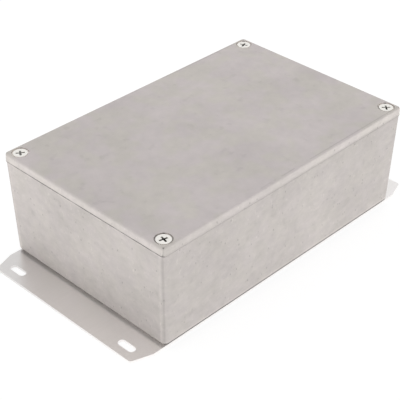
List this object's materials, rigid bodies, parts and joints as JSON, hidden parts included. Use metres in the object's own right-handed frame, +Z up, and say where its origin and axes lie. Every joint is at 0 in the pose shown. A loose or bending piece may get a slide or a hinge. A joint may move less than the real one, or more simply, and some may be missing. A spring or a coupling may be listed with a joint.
{
  "type": "die cast aluminium box",
  "caption": "Rectangular die cast aluminium enclosure with a flush countersunk-screwed lid, on a flat sheet mounting plate with slotted ends.",
  "frame": {"origin": "middle of the mounting plate's underside, on the surface that the box stands on", "axes": "+X along the box's length, +Y across it, +Z up through the lid"},
  "size_m": [0.224, 0.1228, 0.066],
  "materials": {
    "cast_aluminium": "raw die cast, matt, faintly mottled",
    "sheet_aluminium": "mill-finish sheet, satin",
    "plated_steel": "bright nickel-plated steel"
  },
  "bodies": {
    "root": {"base_casting": "cast_aluminium", "lid_casting": "cast_aluminium", "mounting_plate": "sheet_aluminium", "lid_screw_front_left": "plated_steel", "lid_screw_front_right": "plated_steel", "lid_screw_rear_left": "plated_steel", "lid_screw_rear_right": "plated_steel", "plate_screw_front_left": "plated_steel", "plate_screw_front_right": "plated_steel", "plate_screw_rear_left": "plated_steel", "plate_screw_rear_right": "plated_steel"}
  },
  "joints": []
}
